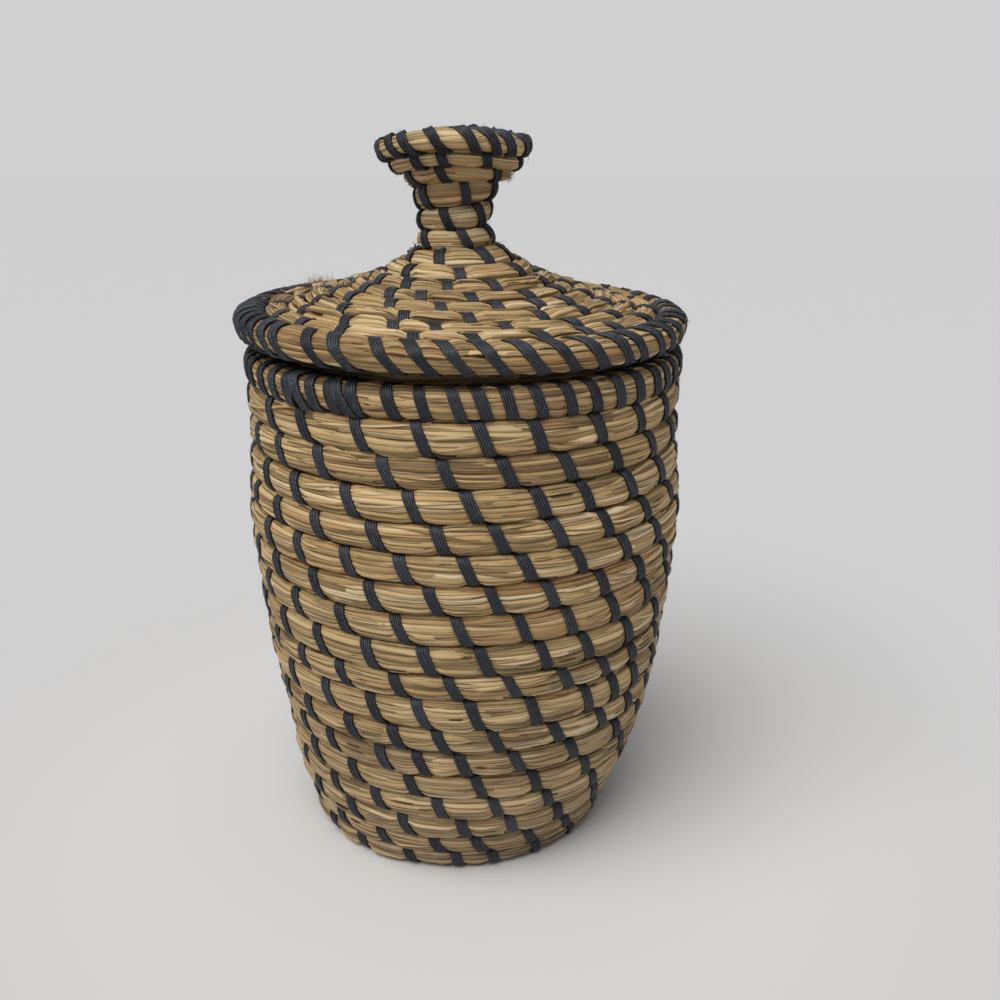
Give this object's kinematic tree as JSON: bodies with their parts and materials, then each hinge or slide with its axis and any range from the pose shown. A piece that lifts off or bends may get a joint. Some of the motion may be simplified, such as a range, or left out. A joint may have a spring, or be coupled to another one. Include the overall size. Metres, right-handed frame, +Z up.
{
  "type": "lidded coiled basket",
  "caption": "Tall coiled grass basket that tapers to its base, stitched in dark thread, with a lift-off domed lid and a flared hollow knob.",
  "frame": {"origin": "middle of the base, on the surface that the basket stands on", "axes": "+Z up along the basket's middle through the knob, the pictured front faces -Y, +X to the right of the front"},
  "size_m": [0.137, 0.1367, 0.2195],
  "materials": {
    "grass": "dry straw-coloured grass blades, slightly glossy, with darker splits and brown spots",
    "thread": "flat dark slate thread of several twisted strands, worn paler on the crests"
  },
  "bodies": {
    "basket": {"base_coil": "grass", "wall_lower_coil": "grass", "wall_middle_coil": "grass", "wall_upper_coil": "grass", "rim_coil": "grass", "wall_stitch_column_01": "thread", "wall_stitch_column_02": "thread", "wall_stitch_column_03": "thread", "wall_stitch_column_04": "thread", "wall_stitch_column_05": "thread", "wall_stitch_column_06": "thread", "wall_stitch_column_07": "thread", "wall_stitch_column_08": "thread", "wall_stitch_column_09": "thread", "wall_stitch_column_10": "thread", "wall_stitch_column_11": "thread", "wall_stitch_column_12": "thread", "wall_stitch_column_13": "thread", "wall_stitch_column_14": "thread", "wall_stitch_column_15": "thread", "wall_stitch_column_16": "thread", "wall_stitch_column_17": "thread", "wall_stitch_column_18": "thread", "wall_stitch_column_19": "thread", "wall_stitch_column_20": "thread", "wall_stitch_column_21": "thread", "wall_stitch_column_22": "thread", "wall_stitch_column_23": "thread", "wall_stitch_column_24": "thread"},
    "lid": {"lid_locating_ring": "grass", "lid_rim_coil": "grass", "lid_dome_coil": "grass", "lid_crown_coil": "grass", "knob_neck_coil": "grass", "knob_rim_coil": "grass", "lid_stitch_column_01": "thread", "lid_stitch_column_02": "thread", "lid_stitch_column_03": "thread", "lid_stitch_column_04": "thread", "lid_stitch_column_05": "thread", "lid_stitch_column_06": "thread", "lid_stitch_column_07": "thread", "lid_stitch_column_08": "thread", "lid_stitch_column_09": "thread", "lid_stitch_column_10": "thread", "lid_stitch_column_11": "thread", "lid_stitch_column_12": "thread", "lid_stitch_column_13": "thread", "lid_stitch_column_14": "thread", "lid_stitch_column_15": "thread", "lid_stitch_column_16": "thread"}
  },
  "joints": [
    {"name": "lid_lift", "type": "slide", "parent": "basket", "child": "lid", "axis": [0, 0, 1], "range_m": [0, 0.16]}
  ]
}
